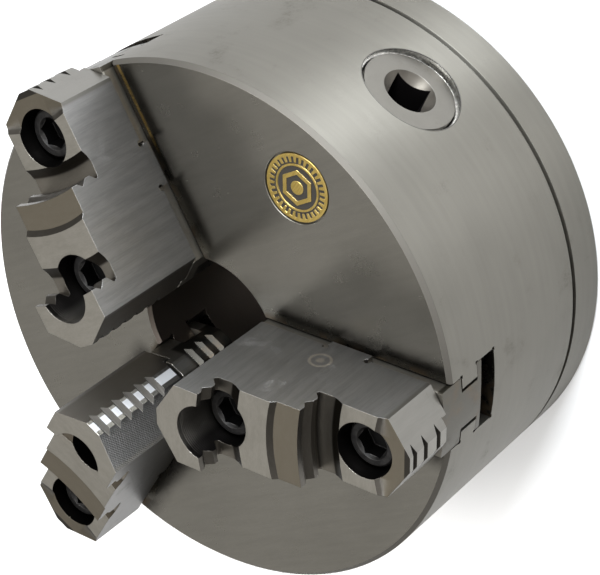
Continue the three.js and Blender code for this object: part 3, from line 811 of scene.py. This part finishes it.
def make_cover():
    top = PARTING - GAP
    shell = lathe([
        (BORE_RADIUS, 5), (BORE_RADIUS + 1, 4), (REGISTER_RADIUS, 4), (REGISTER_RADIUS, 0.6),
        (REGISTER_RADIUS + 0.6, 0), (BODY_RADIUS - 1, 0), (BODY_RADIUS, 1),
        (BODY_RADIUS, top - REBATE - 0.05), (BODY_RADIUS - 0.05, top - REBATE), (REBATE_RADIUS, top - REBATE),
        (REBATE_RADIUS, top), (CAVITY_RADIUS - GAP, top), (CAVITY_RADIUS - GAP, 24), (35.6, 24),
        (35.6, 45.8), (35.2, 46.2), (SLEEVE_RADIUS, 46.2), (SLEEVE_RADIUS, top), (BORE_RADIUS, top),
    ], RING_STEPS)
    screw_hole = lathe([
        (0, -1), (5.9, -1), (5.9, 0), (5.3, 0.6), (5.3, 7), (3.4, 7), (3.4, top + 1), (0, top + 1),
    ], 48, (COVER_SCREW_CIRCLE, 0))
    mounting_hole = lathe([(0, -1), (5.3, -1), (5.3, 0), (4.3, 1), (4.3, 12), (0, 13.5)], 48,
                          (MOUNTING_CIRCLE, 0))
    tail_hole = lathe_along_x(plain_hole(3.8, 25, 40), 32)
    tools = [turned_copy(screw_hole, degrees) for degrees in COVER_SCREW_TURNS]
    for degrees in PINION_TURNS:
        tools += [turned_copy(mounting_hole, degrees), turned_copy(tail_hole, degrees)]
    discard(screw_hole, mounting_hole, tail_hole)
    return cut(shell, *tools)


# ---- Scroll plate ----

THREAD_PITCH = 8
THREAD_WIDTH = 4
THREAD_INNER = 38
THREAD_OUTER = 67.4
THREAD_TOP = 61.4
PITCH_SLOPE = 0.25
PINION_TEETH = 12
SCROLL_TEETH = 48
GEAR_INNER = 37.2
GEAR_OUTER = 46
MODULE_SLOPE = 2 * PITCH_SLOPE / PINION_TEETH
MODULE = MODULE_SLOPE * GEAR_OUTER
PRESSURE = math.radians(20)


def thread_radius(turn):
    """The middle of the thread after some turns."""
    return THREAD_INNER + THREAD_WIDTH / 2 + THREAD_PITCH * turn


def spiral_thread():
    """The flat thread, with a small chamfer along both its upper edges."""
    turns = (THREAD_OUTER - THREAD_INNER - THREAD_WIDTH) / THREAD_PITCH
    steps = 260
    chamfer = 0.35
    half = THREAD_WIDTH / 2
    section = [(-half, 55.8), (half, 55.8), (half, THREAD_TOP - chamfer), (half - chamfer, THREAD_TOP),
               (-half + chamfer, THREAD_TOP), (-half, THREAD_TOP - chamfer)]
    verts = []
    for i in range(steps + 1):
        turn = turns * i / steps
        for offset, height in section:
            verts.append((*on_circle(thread_radius(turn) + offset, 360 * turn), height))
    count = len(section)
    faces = [list(range(count)), list(range(steps * count, (steps + 1) * count))]
    for i in range(steps):
        for j in range(count):
            k = (j + 1) % count
            a = i * count
            faces.append([a + j, a + k, a + k + count, a + j + count])
    return new_solid(verts, faces)


def tapered_along_x(section):
    """A section drawn at the gear's outer end, drawn in towards the point on the chuck's axis."""
    def place(p, x):
        scale = x / GEAR_OUTER
        return (x, p[0] * scale, PINION_HEIGHT + p[1] * scale)
    return prism(section, GEAR_INNER, GEAR_OUTER, place)


def make_scroll():
    def root_at(x):
        return PINION_HEIGHT + x * (PITCH_SLOPE + 1.25 * MODULE_SLOPE)

    def half_at(below):
        return half_pitch - below * math.tan(PRESSURE)

    plate = lathe([
        (SLEEVE_RADIUS, 46.6), (36, 46.6), (36.6, root_at(36.6)), (46.2, root_at(46.2)), (47, 52.3),
        (67.3, 52.3), (67.8, 52.8), (67.8, 56.3), (67.3, 56.8), (SLEEVE_RADIUS, 56.8),
    ], 192)
    pitch_height = PITCH_SLOPE * GEAR_OUTER
    half_pitch = math.pi * MODULE / 4 - 0.12 * MODULE
    tip, root = 0.65 * MODULE, 1.6 * MODULE
    tooth = tapered_along_x([
        (-half_at(tip) + 0.1, pitch_height - tip), (half_at(tip) - 0.1, pitch_height - tip),
        (half_at(tip), pitch_height - tip + 0.1), (half_at(-root), pitch_height + root),
        (-half_at(-root), pitch_height + root), (-half_at(tip), pitch_height - tip + 0.1),
    ])
    teeth = [turned_copy(tooth, 360 / SCROLL_TEETH * i) for i in range(SCROLL_TEETH)]
    discard(tooth)
    return joined(plate, spiral_thread(), *teeth)


# ---- Pinions ----

HEAD_RADIUS = 13.6


def pinion_gear():
    """Involute teeth, each drawn through rings whose radii are in modules."""
    base = PINION_TEETH / 2 * math.cos(PRESSURE)
    rings = [4.8, 5.3, 5.8, 6.3, 6.7, 6.95]

    def half_angle(ring):
        pressure = math.acos(min(1, base / ring))
        return math.pi / 24 + math.tan(PRESSURE) - PRESSURE - (math.tan(pressure) - pressure) - 0.02

    points = []
    for i in range(PINION_TEETH):
        middle = (i + 0.5) * math.pi / 6 - math.pi / 2
        for side in (-1, 1):
            for ring in rings if side < 0 else reversed(rings):
                angle = middle + side * half_angle(ring)
                points.append((MODULE * ring * math.cos(angle), MODULE * ring * math.sin(angle)))
    return tapered_along_x(points)


def make_pinion():
    """Tail, gear and grooved head, with a square key socket in a turned mouth."""
    end = PINION_END
    shaft = lathe_along_x([
        (0, 23.6), (3.0, 23.6), (3.4, 24.0), (3.4, 36.6), (6.4, GEAR_INNER), (8, GEAR_OUTER), (8, 60),
        (13.2, 60.6), (HEAD_RADIUS, 61), (HEAD_RADIUS, 69.4), (13.4, 69.6), (11.2, 69.6), (11.2, 75.2),
        (13.4, 75.2), (HEAD_RADIUS, 75.4), (HEAD_RADIUS, end - 0.45), (13.48, end - 0.12), (13.15, end),
        (0, end),
    ], 144)
    reach = SOCKET_HALF * math.sqrt(2)
    corners = [on_circle(reach, SOCKET_TURN + degrees) for degrees in (45, 135, 225, 315)]
    square = along_x([(y, PINION_HEIGHT + z) for y, z in corners], end - 13, end + 5)
    mouth = lathe_along_x([(0, end - 3.0), (4.6, end - 2.8), (6.4, end - 1.4), (7.3, end - 0.5), (7.75, end),
                           (7.75, end + 5), (0, end + 5)], 96)
    return cut(joined(shaft, pinion_gear()), square, mouth)


# ---- Jaws ----

TOOTH_HALF = 1.3
TOOTH_REACH = 8
NOSE_NOTCHES = [6, 15.4, 20.1, 24.8, 29.6, 34.3, 39]
MASTER_NOTCHES = [-2.4, -7.1, -11.8]
TAIL_NOTCHES = [9.8, 15.8, 20.8]
TAPPED_RADIUS = 4.95


def jaw_plan(tail):
    """A jaw seen from above: half its outline, mirrored; tail is the half outline's outer end."""
    half = [(NOSE_TIP, NOSE_TIP_HALF), (NOSE_SHOULDER, JAW_TOP_HALF)] + list(tail)
    return [(x, -y) for x, y in reversed(half)] + half


def jaw_tooth(radius):
    """A curved tooth under a jaw, which stands in the scroll's thread."""
    points = []
    for side in (1, -1):
        arc = radius + side * TOOTH_HALF
        reach = math.asin(TOOTH_REACH / radius)
        for i in range(13):
            angle = side * reach * (2 * i / 12 - 1)
            points.append((arc * math.cos(angle), arc * math.sin(angle)))
    return upright(points, 57.9, FLANGE_BOTTOM + 0.5)


def tip_notches(tip, heights, depth=1.1, half=1.25):
    """V notches across a tip; depth is negative where they go towards the chuck's axis."""
    return [across([(tip + depth, FRONT + h), (tip - depth, FRONT + h - 2 * half),
                    (tip - depth, FRONT + h + 2 * half)], JAW_TOP_HALF + 1) for h in heights]


def make_master(degrees):
    """A master jaw; its teeth depend on where the jaw stands round the scroll."""
    flange_top = RIB_BOTTOM - GAP
    neck_top = RIB_TOP + GAP
    tongue_top = MASTER_TOP + 2
    bevel = 0.3
    half = [
        (FLANGE_HALF - bevel, FLANGE_BOTTOM), (FLANGE_HALF, FLANGE_BOTTOM + bevel),
        (FLANGE_HALF, flange_top - bevel), (FLANGE_HALF - bevel, flange_top), (NECK_HALF, flange_top),
        (NECK_HALF, neck_top), (MASTER_HALF - bevel, neck_top), (MASTER_HALF, neck_top + bevel),
        (MASTER_HALF, MASTER_TOP - bevel), (MASTER_HALF - bevel, MASTER_TOP), (TONGUE_HALF, MASTER_TOP),
        (TONGUE_HALF, tongue_top - bevel), (TONGUE_HALF - bevel, tongue_top),
    ]
    section = half + [(-y, z) for y, z in reversed(half)]
    bar = along_x(section, NOSE_TIP - 1, BODY_RADIUS + 2)
    tail = [on_circle(BODY_RADIUS - 0.1, d) for d in (8.6, 7.2, 5.8, 4.3, 2.9, 1.4)]
    shaped = combine(bar, [upright(jaw_plan(tail), FLANGE_BOTTOM - 1, tongue_top + 1)], "INTERSECT")
    keyway = across([(KEY_START, KEY_FLOOR), (KEY_END, KEY_FLOOR), (KEY_END, tongue_top + 1),
                     (KEY_START, tongue_top + 1)], JAW_TOP_HALF)
    tapped_outline = [(0, 66.5), (TAPPED_RADIUS, 66.5), (TAPPED_RADIUS, tongue_top - 0.6), (5.6, tongue_top),
                      (5.6, tongue_top + 1), (0, tongue_top + 1)]
    tapped = [lathe(tapped_outline, 48, (x, 0)) for x, seat in JAW_SCREWS]
    end_chamfer = across([(76.6, FLANGE_BOTTOM - 1), (BODY_RADIUS + 3, FLANGE_BOTTOM - 1),
                          (BODY_RADIUS + 3, FLANGE_BOTTOM + 5.4)], JAW_TOP_HALF)
    cut(shaped, keyway, end_chamfer, *tapped, *tip_notches(NOSE_TIP, MASTER_NOTCHES))
    first = thread_radius((degrees % 360) / 360) - THREAD_PITCH / 2
    radii = [first + THREAD_PITCH * i for i in range(-1, 8)]
    teeth = [jaw_tooth(r) for r in radii if NOSE_SHOULDER + 6 < r < CAVITY_RADIUS - 2]
    return joined(shaped, *teeth)


def step_cutter(outline):
    """A step of the jaw, turned about a centre beyond the tail."""
    centre = outline[0][0] + STEP_ARC
    floor = FRONT + outline[-1][1]
    profile = [(centre - x, FRONT + height) for x, height in outline]
    return lathe(profile + [(0, floor), (0, FRONT + 60)], 480, (centre, 0))


def flank_knurl():
    """Everything beyond the nose's flank, ending in a diamond knurl that bites into the flank."""
    start = Vector((NOSE_TIP, NOSE_TIP_HALF))
    end = Vector((NOSE_SHOULDER, JAW_TOP_HALF))
    along = (end - start).normalized()
    out = Vector((-along.y, along.x))
    columns, rows = 96, 288
    before, after = 0.2, 2.0
    width = (end - start).length + after
    low, high = MASTER_TOP + 0.6, NOSE_TOP + 1
    pitch, depth, groove, steepness = 0.72, 0.11, 0.45, 2.2
    clear, outside = 0.03, 3.0
    verts, faces = [], []
    for layer in range(2):
        for row in range(rows + 1):
            z = low + (high - low) * row / rows
            for column in range(columns + 1):
                u = width * column / columns - before
                bite = outside if layer else clear
                near = min(abs(((u + side) / pitch / 1.2) % 1 - 0.5) * 2 for side in (z, -z))
                if not layer and near < groove:
                    fade = min(1, max(0, (u - 0.3) / 0.6)) * min(1, row / 6)
                    bite = min(-depth * (1 - near * steepness) * fade, clear)
                point = start + along * u + out * bite
                verts.append((point.x, point.y, z))
    size = (columns + 1) * (rows + 1)
    for layer in range(2):
        for row in range(rows):
            for column in range(columns):
                a = layer * size + row * (columns + 1) + column
                faces.append([a, a + 1, a + columns + 2, a + columns + 1])
    for row in range(rows):
        for column in (0, columns):
            a = row * (columns + 1) + column
            faces.append([a, a + columns + 1, a + columns + 1 + size, a + size])
    for column in range(columns):
        for row in (0, rows):
            a = row * (columns + 1) + column
            faces.append([a, a + 1, a + 1 + size, a + size])
    return new_solid(verts, faces)


def ribbed_bore(x, bottom, top, ribs):
    """A counterbore with a chamfered mouth, and tool rings on its wall."""
    outline = [(0, bottom), (COUNTERBORE_RADIUS - 0.15, bottom), (COUNTERBORE_RADIUS, bottom + 0.15)]
    z = bottom + 3
    while ribs and z < top - 2:
        outline += [(COUNTERBORE_RADIUS, z), (COUNTERBORE_RADIUS + 0.045, z + 0.2),
                    (COUNTERBORE_RADIUS, z + 0.4)]
        z += 0.65
    outline += [(COUNTERBORE_RADIUS, top), (0, top)]
    return lathe(outline, 96, (x, 0))


# The walls of the two steps: distance from the axis and height above the front face.
INNER_STEP = [
    (28.4, 60), (28.4, 40.6), (27.4, 39), (29.1, 37.5), (29.3, 37.2), (29.3, 36.0), (29.1, 35.7),
    (27.3, 34), (27.3, 33.5), (27.6, 33.0), (28.2, 32.7), (32, 32.6), (34, 33.3), (36, 34.4), (45.3, 34.4),
    (46.7, 33.2), (54.2, 33),
]
OUTER_STEP = [
    (54.2, 60), (54.2, 31), (53, 29.4), (54.3, 27.9), (54.6, 27.5), (54.6, 25.9), (54.4, 25.6),
    (53, 24.1), (53, 23.8), (53.2, 23.4), (53.8, 23.15), (57.6, 23), (59.4, 23.6), (61.2, 24.5),
    (71.7, 24.5), (73.2, 23.8), (82, 23.2),
]


def make_top_jaw():
    """A stepped jaw with its key, tongue groove, counterbores, notched ends and knurled nose."""
    bottom = MASTER_TOP + GAP
    plan = jaw_plan([(TAIL_SHOULDER, JAW_TOP_HALF), (TAIL_TIP, TAIL_TIP_HALF)])
    block = upright(plan, KEY_FLOOR + GAP, NOSE_TOP)
    wide = JAW_TOP_HALF + 1
    spans = [(NOSE_TIP - 1, KEY_START + GAP), (KEY_END - GAP, TAIL_TIP + 1)]
    reliefs = [across([(a, FRONT - 1), (b, FRONT - 1), (b, bottom), (a, bottom)], wide) for a, b in spans]
    groove_half = TONGUE_HALF + GAP
    groove_top = MASTER_TOP + 2 + GAP
    groove = [(-groove_half, FRONT), (groove_half, FRONT), (groove_half, groove_top - 0.3),
              (groove_half + 0.25, groove_top + 0.15), (groove_half - 0.6, groove_top),
              (-groove_half + 0.6, groove_top), (-groove_half - 0.25, groove_top + 0.15),
              (-groove_half, groove_top - 0.3)]
    grooves = [along_x(groove, a, b) for a, b in spans]
    notch_radius = 0.95
    corner_notches = []
    for x in (KEY_START + GAP - 0.3, KEY_END - GAP + 0.3):
        circle = [(x + notch_radius * math.cos(i * math.pi / 8),
                   bottom + 0.35 + notch_radius * math.sin(i * math.pi / 8)) for i in range(16)]
        corner_notches.append(across(circle, wide))
    bores = []
    for (x, seat), ribs in zip(JAW_SCREWS, (True, False)):
        bores.append(ribbed_bore(x, seat - GAP, NOSE_TOP + 1, ribs))
        bores.append(lathe(plain_hole(TAPPED_RADIUS, FRONT, seat), 48, (x, 0)))
    notches = tip_notches(NOSE_TIP, NOSE_NOTCHES) + tip_notches(TAIL_TIP, TAIL_NOTCHES, -1.6, 0.9)
    cut(block, *reliefs, *grooves, *corner_notches)
    cut(block, flank_knurl())
    return cut(block, step_cutter(INNER_STEP), step_cutter(OUTER_STEP), *bores, *notches)


# ---- Fasteners ----


def cap_screw(head, head_height, shank, socket, socket_depth, x, seat, end):
    """A socket head cap screw with a knurled, chamfered head; head and shank are radii."""
    away = math.copysign(1, seat - end)
    top = seat + away * head_height
    ribs = 36
    steps = ribs * 4

    def knurl(radius, i):
        return radius - 0.12 if radius >= head - 0.01 and i % 4 in (0, 3) else radius

    shape = lathe([
        (0, end), (shank - 0.6, end), (shank, end + 0.6 * away), (shank, seat - 0.5 * away),
        (shank + 0.3, seat), (head - 0.4, seat), (head, seat + 0.4 * away), (head, top - away),
        (head - 0.35, top - 0.3 * away), (head - 0.8, top), (0, top),
    ], steps, (x, 0), knurl)
    levels = sorted((top - away * socket_depth, top + away))
    corner = socket / math.sqrt(3)
    chamfer = lathe([
        (0, top - 0.7 * away), (corner - 0.45, top - 0.7 * away), (corner + 0.25, top),
        (corner + 0.25, top + away), (0, top + away),
    ], 48, (x, 0))
    return cut(shape, upright(hexagon(socket, x), *levels), chamfer)


def make_pin():
    outline = [(0, 14.8), (1.8, 14.8), (2.2, 15.2), (2.2, 25.9), (1.8, 26.3), (0, 26.3)]
    return lathe(outline, 40, (PIN_CIRCLE, 0))


# ---- Badge ----

BADGE_TICKS = 32


def badge_hexagon(radius):
    points = [on_circle(radius, 60 * i + 30) for i in range(6)]
    return [(BADGE_CIRCLE + x, y) for x, y in points]


def make_badge():
    """A brass disc with a raised rim, ticks, ring and hexagon over a sunk black ground.

    Gives back the disc and a height in metres just above its ground.
    """
    bottom = FRONT - 0.75
    ground = bottom + 0.4
    top = bottom + 0.6
    disc = lathe([
        (0, bottom), (BADGE_RADIUS, bottom), (BADGE_RADIUS, top - 0.1), (BADGE_RADIUS - 0.1, top),
        (8.9, top), (8.8, ground), (6.9, ground), (6.8, top), (6.3, top), (6.2, ground), (0, ground),
    ], 128, (BADGE_CIRCLE, 0))
    raised = []
    for i in range(BADGE_TICKS):
        middle = 360 * i / BADGE_TICKS
        outline = []
        for radius, side in ((7.3, -1), (8.95, -1), (8.95, 1), (7.3, 1)):
            x, y = on_circle(radius, middle + side * (3.0 if radius > 8 else 2.4))
            outline.append((BADGE_CIRCLE + x, y))
        raised.append(upright(outline, bottom + 0.1, top))
    raised.append(cut(upright(badge_hexagon(5.2), bottom + 0.1, top),
                      upright(badge_hexagon(3.9), ground, top + 1)))
    dot = [(0, bottom + 0.1), (2.0, bottom + 0.1), (2.0, top - 0.1), (1.9, top), (0, top)]
    raised.append(lathe(dot, 48, (BADGE_CIRCLE, 0)))
    return joined(disc, *raised), (ground + 0.05) * MM


# ---- Assembly ----

# The body's outer wall has a material of its own, because it is turned and the rest is ground.
body = stand_in("body", finish_mesh(make_body()), BODY_STEEL)
body.data.materials.append(WALL_STEEL)
for polygon in body.data.polygons:
    if abs(polygon.normal.z) < 0.2 and polygon.center.xy.length > (BODY_RADIUS - 0.2) * MM:
        polygon.material_index = 1
stand_in("rear_cover", finish_mesh(make_cover()), COVER_STEEL)
stand_in("scroll_plate", finish_mesh(make_scroll()), HARDENED_STEEL)

pinion_mesh = finish_mesh(make_pinion())
pin_mesh = finish_mesh(make_pin())
for number, degrees in enumerate(PINION_TURNS, 1):
    stand_in(f"pinion_{number}", pinion_mesh, PINION_STEEL, degrees)
    stand_in(f"pinion_pin_{number}", pin_mesh, HARDENED_STEEL, degrees)

jaw_mesh = finish_mesh(make_top_jaw())
jaw_screw = {"head": 7.15, "head_height": 9.5, "shank": 4.5, "socket": 7.9, "socket_depth": 5, "end": 68}
inner_screw, outer_screw = [finish_mesh(cap_screw(x=x, seat=seat, **jaw_screw)) for x, seat in JAW_SCREWS]
for number, degrees in enumerate(JAW_TURNS, 1):
    master = finish_mesh(make_master(degrees))
    top_steel = JAW_RING_STEEL if number == RING_JAW else JAW_STEEL
    stand_in(f"master_jaw_{number}", master, MASTER_STEEL, degrees)
    stand_in(f"top_jaw_{number}", jaw_mesh, top_steel, degrees)
    stand_in(f"inner_jaw_screw_{number}", inner_screw, BLACK_OXIDE, degrees)
    stand_in(f"outer_jaw_screw_{number}", outer_screw, BLACK_OXIDE, degrees)

cover_screw = finish_mesh(cap_screw(head=4.8, head_height=6, shank=3, socket=5, socket_depth=3,
                                    x=COVER_SCREW_CIRCLE, seat=6.7, end=32))
for number, degrees in enumerate(COVER_SCREW_TURNS, 1):
    stand_in(f"cover_screw_{number}", cover_screw, BLACK_OXIDE, degrees)

badge_solid, ground_level = make_badge()
badge_mesh = finish_mesh(badge_solid)
stand_in("badge", badge_mesh, BRASS, BADGE_TURN)
badge_mesh.materials.append(ENAMEL)
for face in badge_mesh.polygons:
    if face.normal.z > 0.9 and face.center.z < ground_level:
        face.material_index = 1

# ---- Floor and light ----

FLOOR_HALF = 6.0
WORLD_COLOR = (1.0, 0.96, 0.89, 1)
WORLD_STRENGTH = 0.28
LIGHT_AIM = (0, 0, 0.06)
# Each light's name, place, width in metres, watts and colour.
LIGHTS = [
    ("key", (0.84, 0.87, 0.62), 0.45, 30, (0.9, 0.95, 1.0)),
    ("fill", (1.35, 0.05, 0.5), 0.6, 6, (0.95, 0.97, 1.0)),
    ("back", (-1.36, -0.44, 1.4), 1.1, 2.4, (1, 1, 1)),
    ("high", (-0.2, 0.55, 1.7), 1.0, 20, (1, 1, 1)),
    ("top", (0.3, 0.0, 1.8), 1.8, 26, (1, 1, 1)),
]


def make_floor():
    mesh = bpy.data.meshes.new("floor")
    corners = [(x * FLOOR_HALF, y * FLOOR_HALF, 0) for x, y in ((-1, -1), (1, -1), (1, 1), (-1, 1))]
    mesh.from_pydata(corners, [], [(0, 1, 2, 3)])
    floor = bpy.data.objects.new("floor", mesh)
    bpy.context.scene.collection.objects.link(floor)
    look = Look("floor_white")
    grain = look.noise(look.place, 0.02, 2.0, 0.5)
    look.color = look.blend(grain, (0.86, 0.86, 0.86), (0.9, 0.9, 0.9))
    look.roughness = 0.9
    mesh.materials.append(look.finish(grain, 0.02, None, 0.0))


def make_world():
    world = bpy.data.worlds.new("studio")
    world.use_nodes = True
    background = world.node_tree.nodes["Background"]
    background.inputs["Color"].default_value = WORLD_COLOR
    background.inputs["Strength"].default_value = WORLD_STRENGTH
    bpy.context.scene.world = world


def make_light(name, place, width, watts, color):
    """A square lamp that faces the chuck."""
    data = bpy.data.lights.new(name, "AREA")
    data.size = width
    data.energy = watts
    data.color = color
    light = bpy.data.objects.new(name, data)
    light.location = place
    light.rotation_euler = (Vector(LIGHT_AIM) - Vector(place)).to_track_quat("-Z", "Y").to_euler()
    bpy.context.scene.collection.objects.link(light)


make_floor()
make_world()
for light in LIGHTS:
    make_light(*light)
bpy.context.scene.view_settings.view_transform = "Standard"
